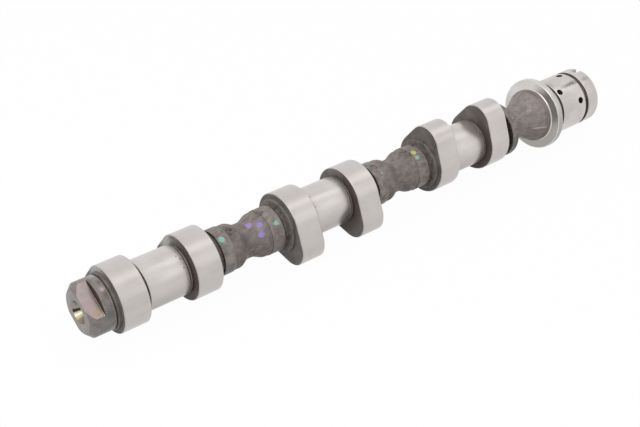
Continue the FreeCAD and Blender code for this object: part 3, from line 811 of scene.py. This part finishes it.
# The drive end: a turned hub, a cast neck and cone, the thrust flange and the front journal with
# its oil groove, the seal groove, the end collar, and the bore for the bolt of the timing drive.
# Two spots of rust on the hub's front edge are (place, reach, strength, tone).
HUB_RUST = (
    ((-72.7, -10.2, 13.0), 2.2, 0.6, (188, 148, 110)),
    ((-74.3, -11.4, 12.0), 0.7, 0.8, (224, 204, 180)),
)
tree, place, colour = cast_finish("hub", 0.1, (164, 156, 151), (138, 130, 125))
for centre, reach, strength, rust in HUB_RUST:
    colour = tint(tree, colour, dab_mask(tree, place, centre, reach, 0.7), strength, rust)
repaint(tree, colour)

# Painted reflections: a duller grey on the flange's lower side stands for the sheet that it
# mirrors, and a darker grey near its top for a darker corner of the room.
FLANGE_TOP, FLANGE_SHADE = 60.0, (118.0, 16.0, 12.0)
SHEET_REFLECTION_GREY, CORNER_REFLECTION_GREY = (168, 165, 160), (146, 141, 136)
tree, place, colour = worked_skin(
    "flange", 0.9, (220, 216, 211), (208, 204, 198), (0.29, 0.38), "Radius", 0.5, 9.0,
    lines_share=0.06, speck_share=0.01, depth=0.002)
upper = use_group(tree, sector, Round=place["Round"], Towards=outwards(FLANGE_TOP), Start=-0.9,
                  Full=0.9)["Mask"]
# Painted reflection of the sheet on the lower side, and of the room's corner near the top.
colour = mix_tones(tree, upper, tone(*SHEET_REFLECTION_GREY), colour)
colour = tint(tree, colour, side_mask(tree, place, *FLANGE_SHADE), 0.3, CORNER_REFLECTION_GREY)
repaint(tree, colour)
worked_skin("step", 0.3, (166, 156, 151), (146, 136, 131), (0.55, 0.7), speck_share=0.05)
worked_skin("flange_edge", 1.0, (216, 212, 208), (200, 196, 192), (0.29, 0.37), lines_share=0.04,
            speck_share=0.0, depth=0.006)
worked_skin("groove", 0.4, (152, 143, 137), (120, 111, 104), (0.35, 0.5))
worked_skin("end_face", 1.0, (184, 178, 174), (166, 160, 156), (0.3, 0.4), "Radius")

# The front journal is ground like the others. Dull grey streaks that run along it are painted
# reflections of something dark, given as (place, reach, strength).
FRONT_REFLECTION_GREY = (104, 100, 97)
PAINTED_DARK_REFLECTIONS = (
    ((-19.6, -7.6, 15.5), (10.0, 2.0, 2.0), 0.75), ((-15.0, -7.4, 15.6), (6.0, 2.8, 2.8), 0.7),
    ((-4.4, -8.0, 15.2), (6.5, 2.2, 2.2), 0.45), ((-31.0, -3.0, 17.0), (3.5, 5.0, 5.0), 0.3),
)
tree, place, colour = ground_skin("front_journal", 1.0, (206, 200, 197), (192, 186, 183), 10.0,
                                  0.003, (16.0, 1.3, 1.3), 0.2, (216, 211, 208))
# Each streak is a painted reflection.
for centre, reach, strength in PAINTED_DARK_REFLECTIONS:
    colour = tint(tree, colour, dab_mask(tree, place, centre, reach, 1.0), strength, FRONT_REFLECTION_GREY)
repaint(tree, colour)

FRONT_CAM_FACE = PAIR_STATIONS[-1] + PAIR_HALF
HUB_RADIUS, HUB_REAR, HUB_FRONT, HUB_BEVEL = 16.5, -77.9, -72.6, 0.6
NECK_FILLET, NECK_FRONT = 0.5, -58.5
CONE_RADIUS, CONE_FRONT = 15.6, -46.7
STEP_RADIUS, STEP_REAR = 16.2, -46.2
FLANGE_FILLET, FLANGE_BEVEL = (0.5, 0.55), 0.4
FLANGE_RADIUS, FLANGE_REAR, FLANGE_FRONT = 22.1, -43.3, -39.3
FRONT_RADIUS, END_BEVEL = 17.25, 0.3
BORE_RADIUS, BORE_END, BORE_CHAMFER = 8.25, -34.0, 1.0
THREAD_MOUTH = 6.1


def groove(rear, front, floor):
    """The corners of a groove in the front journal, from its rear edge to its front edge."""
    return [(rear, FRONT_RADIUS, "groove"), (rear, floor, "groove"), (front, floor, "groove"),
            (front, FRONT_RADIUS, "front_journal")]


lay_turned([
    (FRONT_CAM_FACE, RING_RADIUS, "ring"), (FRONT_CAM_FACE + RING_WIDTH, RING_RADIUS, "gap"),
    (FRONT_CAM_FACE + RING_WIDTH, GAP_RADIUS, "gap"), (HUB_REAR, GAP_RADIUS, "gap"),
    (HUB_REAR, HUB_RADIUS, "hub"), (HUB_FRONT - HUB_BEVEL, HUB_RADIUS, "hub"),
    (HUB_FRONT, HUB_RADIUS - HUB_BEVEL, "hub"), (HUB_FRONT, WAIST_RADIUS + NECK_FILLET, "cast"),
])
lay_cast([(HUB_FRONT + NECK_FILLET, WAIST_RADIUS), (NECK_FRONT, WAIST_RADIUS),
          (CONE_FRONT - 0.1, CONE_RADIUS)], 0.25, 0.5, ((180.4, 0.22), (3.0, 0.1)), "cone")
lay_turned([
    (CONE_FRONT, CONE_RADIUS, "step"), (STEP_REAR, CONE_RADIUS, "step"),
    (STEP_REAR, STEP_RADIUS, "step"),
    (FLANGE_REAR - FLANGE_FILLET[0], STEP_RADIUS, "flange_edge"),
    (FLANGE_REAR, STEP_RADIUS + FLANGE_FILLET[1], "flange"),
    (FLANGE_REAR, FLANGE_RADIUS - FLANGE_BEVEL, "flange_edge"),
    (FLANGE_REAR + FLANGE_BEVEL, FLANGE_RADIUS, "flange"),
    (FLANGE_FRONT - FLANGE_BEVEL, FLANGE_RADIUS, "flange_edge"),
    (FLANGE_FRONT, FLANGE_RADIUS - FLANGE_BEVEL, "flange"),
    (FLANGE_FRONT, FRONT_RADIUS, "front_journal"),
    *groove(-34.3, -32.4, 16.05),
    *groove(-11.9, -9.0, 15.25),
    (-END_BEVEL, FRONT_RADIUS, "edge"), (0.0, FRONT_RADIUS - END_BEVEL, "end_face"),
    (0.0, BORE_RADIUS + BORE_CHAMFER, "end_face"), (-BORE_CHAMFER, BORE_RADIUS, "bore"),
    (BORE_END, BORE_RADIUS, "bore"), (BORE_END, THREAD_MOUTH, "bore"),
])

# The M12 thread at the bottom of the bolt bore, cut with a tap into a 10.2 mm hole.
# Its flights are a sawtooth of the station and the angle, with flats on crest and root.
THREAD_PITCH, THREAD_CREST, THREAD_ROOT = 1.75, 5.1, 6.0
THREAD_END, THREAD_RUN_OUT = -56.0, 0.5
THREAD_STEPS, THREAD_COLUMNS = 6.0, 60
FLANK_SLOPE, CREST_SHARE = 1.6, 0.25
thread_around = np.linspace(0.0, 2.0 * math.pi, THREAD_COLUMNS, endpoint=False)
thread_stations = np.arange(BORE_END, THREAD_END, -THREAD_PITCH / THREAD_STEPS)


def thread_radius(x):
    """Crest radius plus the depth times a clipped triangle wave of x / pitch + angle / turn."""
    phase = (x / THREAD_PITCH + thread_around / (2.0 * math.pi)) % 1.0
    triangle = 1.0 - 2.0 * np.abs(phase - 0.5)
    wave = np.clip(FLANK_SLOPE * triangle - CREST_SHARE, 0.0, 1.0)
    fade = min(THREAD_PITCH, BORE_END - x, x - THREAD_END + THREAD_RUN_OUT) / THREAD_PITCH
    return THREAD_CREST + (THREAD_ROOT - THREAD_CREST) * wave * max(fade, 0.0)


thread_rings = [(np.full(THREAD_COLUMNS, x), thread_radius(x)) for x in thread_stations]

# The milled flats: a clouded lilac sheen that turns tan towards one end. At their inner end the
# cutter left a burr, which shows as a brown and a pale line, and a small dark wall behind a dark
# line. The ends are (place, reach, tone), and the lines are (station, half width, side, tone).
FLAT_ANGLE, FLATS_ACROSS, FLATS_FRONT = 125.5, 20.4, -352.1
TAN_END, GREY_END = (-354.8, -12.2, 4.6), (-355.0, -2.6, 11.4)
FLAT_ENDS = ((TAN_END, 5.5, (176, 156, 140)), (GREY_END, 3.4, (166, 162, 156)))
LOW_HALF, ALL_ROUND = (160.0, 30.0, 14.0), None
BLUSH, RUST = (184, 158, 164), (170, 122, 88)
FLAT_LINES = (
    (-352.98, 0.18, LOW_HALF, (112, 90, 74)), (-352.62, 0.26, LOW_HALF, (224, 210, 192)),
    (-352.22, 0.2, ALL_ROUND, (78, 66, 56)),
)
tree, place, colour = worked_skin(
    "milled", 0.7, (182, 168, 168), (164, 150, 148), (0.32, 0.45), spacing=0.8, lump=3.0,
    speck_share=0.06)
colour = tint(tree, colour, cloud_mask(tree, place, (2.2, 4.0, 4.0)), 0.4, BLUSH)
for centre, reach, end_tone in FLAT_ENDS:
    colour = mix_tones(tree, dab_mask(tree, place, centre, reach, 1.0), colour, tone(*end_tone))
low_end = dab_mask(tree, place, TAN_END, (3.0, 3.4, 3.4), 0.6)
colour = tint(tree, colour, speck_mask(tree, place, PIT_SIZE, 0.5), low_end, RUST)
for station, half_width, side, line_tone in FLAT_LINES:
    line = band_mask(tree, place, station, half_width * 0.6, half_width * 1.2)
    where = side_mask(tree, place, *side) if side else 1.0
    colour = tint(tree, colour, line, where, line_tone)
repaint(tree, colour)
worked_skin("flat_wall", 0.1, (66, 54, 44), (48, 38, 30), (0.45, 0.6), "Radius")

# All the rings become one closed mesh. Columns of the wide rings meet the thread's fewer columns
# in fans of one short side and several long ones, and the two ends close on the axis.
THREAD_DRILL_TIP = -59.064
body_rings = rings[1:]
places = [ring_places(x, radius, around) for x, radius, _ in body_rings]
places += [ring_places(x, radius, thread_around) for x, radius in thread_rings]
places.append([(CENTRE_DRILL_TIP, 0.0, 0.0), (THREAD_DRILL_TIP, 0.0, 0.0)])
vertices = np.concatenate(places) * METRES
finishes = list(skins)
rear_pole, front_pole = len(vertices) - 2, len(vertices) - 1
thread_first = len(body_rings) * COLUMNS


def ring_quads(first, ring_count, columns):
    """Quads between neighbouring rings, wound so that they face away from the iron."""
    ring, column = np.meshgrid(np.arange(ring_count - 1), np.arange(columns), indexing="ij")
    following = (column + 1) % columns
    corners = [ring * columns + column, ring * columns + following,
               (ring + 1) * columns + following, (ring + 1) * columns + column]
    return np.stack(corners, axis=-1).reshape(-1, 4) + first


quads = ring_quads(0, len(body_rings), COLUMNS)
quad_finish = np.repeat([finishes.index(finish) for _, _, finish in body_rings[:-1]], COLUMNS)
thread_quads = ring_quads(thread_first, len(thread_rings), THREAD_COLUMNS)
column = np.arange(COLUMNS)
rear_fan = np.stack([np.full(COLUMNS, rear_pole), (column + 1) % COLUMNS, column], axis=-1)
last_thread_ring = thread_first + (len(thread_rings) - 1) * THREAD_COLUMNS
thread_column = np.arange(THREAD_COLUMNS)
next_column = (thread_column + 1) % THREAD_COLUMNS
front_fan = np.stack([last_thread_ring + thread_column, last_thread_ring + next_column,
                      np.full(THREAD_COLUMNS, front_pole)], axis=-1)
ratio = COLUMNS // THREAD_COLUMNS
last_wide_ring = thread_first - COLUMNS
mouth = [last_wide_ring + (thread_column * ratio + k) % COLUMNS for k in range(ratio + 1)]
mouth_faces = np.stack(mouth + [thread_first + next_column, thread_first + thread_column], axis=-1)
face_groups = (rear_fan, quads, mouth_faces, thread_quads, front_fan)
faces = [face for group in face_groups for face in group.tolist()]
bore_finish = finishes.index("bore")
face_finish = np.concatenate([
    np.full(len(rear_fan), bore_finish), quad_finish,
    np.full(len(mouth_faces) + len(thread_quads) + len(front_fan), bore_finish),
])
shaft_mesh = bpy.data.meshes.new("camshaft_iron")
shaft_mesh.from_pydata(vertices.tolist(), [], faces)
shaft_mesh.polygons.foreach_set("material_index", face_finish.astype(np.int32))
shaft = bpy.data.objects.new("camshaft_iron", shaft_mesh)
scene.collection.objects.link(shaft)
for material in skins.values():
    shaft_mesh.materials.append(material)

# The cuts that aren't turned: two milled spanner flats, the locating slot in the end collar's rim
# and three oil drillings, each straight through the front journal and slightly countersunk.
SLOT_ANGLE, SLOT_FLOOR, SLOT_WIDTH, SLOT_REACH = 87.9, 14.65, 3.6, -5.0
OIL_HOLE_RADIUS, COUNTERSINK_RADIUS = 2.0, 2.62
OIL_HOLES = ((-16.1, 156.6), (-16.1, 80.5), (-29.6, 123.7))
# The cutters reach past the iron by these distances, so nothing thin is left over.
CLEAR_OF_RADIUS, CLEAR_OF_END = 20.0, 2.0
DRILL_COLUMNS, DRILL_STRAIGHT, DRILL_HALF = 48, 17.1, 19.5
SHARP_ANGLE = 26.0


def cutter(name, points, sides, side_finishes):
    """A closed cutting tool, used once and taken away. Each side leaves its finish on the iron."""
    mesh = bpy.data.meshes.new(name)
    mesh.from_pydata((np.asarray(points) * METRES).tolist(), [], sides)
    mesh.polygons.foreach_set("material_index", [finishes.index(left) for left in side_finishes])
    for material in shaft_mesh.materials:
        mesh.materials.append(material)
    tool = bpy.data.objects.new(name, mesh)
    scene.collection.objects.link(tool)
    return tool


def milled_block(name, angle, near, half_width, start, stop, finish, wall_finish):
    """A block from a distance off the axis outwards, in the direction of an angle."""
    away = np.array(outwards(angle))
    across = np.array((0.0, -away[2], away[1]))
    corners = [np.array((x, 0.0, 0.0)) + away * out + across * side
               for x in (start, stop)
               for out, side in ((near, -half_width), (CLEAR_OF_RADIUS, -half_width),
                                 (CLEAR_OF_RADIUS, half_width), (near, half_width))]
    sides = [(3, 2, 1, 0), (4, 5, 6, 7), (1, 5, 4, 0), (2, 6, 5, 1), (3, 7, 6, 2), (0, 4, 7, 3)]
    return cutter(name, corners, sides, [wall_finish] * 2 + [finish] * 4)


def oil_drill(name, station, angle):
    """A drill as long as the journal is wide, flared where it comes out of both sides."""
    outline = [(-DRILL_HALF, COUNTERSINK_RADIUS), (-DRILL_STRAIGHT, OIL_HOLE_RADIUS),
               (DRILL_STRAIGHT, OIL_HOLE_RADIUS), (DRILL_HALF, COUNTERSINK_RADIUS)]
    turns = np.linspace(0.0, 2.0 * math.pi, DRILL_COLUMNS, endpoint=False)
    away = np.array(outwards(angle))
    across = np.array((0.0, -away[2], away[1]))
    along = np.array((1.0, 0.0, 0.0))
    points = [np.array((station, 0.0, 0.0)) + away * out
              + radius * (np.cos(turns)[:, None] * across + np.sin(turns)[:, None] * along)
              for out, radius in outline]
    sides = ring_quads(0, len(outline), DRILL_COLUMNS).tolist()
    caps = [tuple(range(DRILL_COLUMNS)[::-1]),
            tuple(range(3 * DRILL_COLUMNS, 4 * DRILL_COLUMNS))]
    return cutter(name, np.concatenate(points), sides + caps, ["bore"] * (len(sides) + len(caps)))


tools = [
    milled_block("flat_cutter_%d" % number, FLAT_ANGLE + turn, FLATS_ACROSS / 2.0, CLEAR_OF_RADIUS,
                 REAR_END - CLEAR_OF_END, FLATS_FRONT, "milled", "flat_wall")
    for number, turn in enumerate((0.0, 180.0))
]
tools.append(milled_block("slot_cutter", SLOT_ANGLE, SLOT_FLOOR, SLOT_WIDTH / 2.0, SLOT_REACH,
                          CLEAR_OF_END, "end_face", "end_face"))
tools += [oil_drill("oil_drill_%d" % number, *hole) for number, hole in enumerate(OIL_HOLES)]
for tool in tools:
    tool.data.validate()
    cut = shaft.modifiers.new(tool.name, "BOOLEAN")
    cut.operation, cut.solver, cut.object = "DIFFERENCE", "EXACT", tool
finished = bpy.data.meshes.new_from_object(
    shaft.evaluated_get(bpy.context.evaluated_depsgraph_get()))
shaft.modifiers.clear()
shaft.data = finished
for tool in tools:
    bpy.data.objects.remove(tool)
finished.shade_smooth()
finished.set_sharp_from_angle(angle=math.radians(SHARP_ANGLE))

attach(shaft, "root")
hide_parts("camshaft")
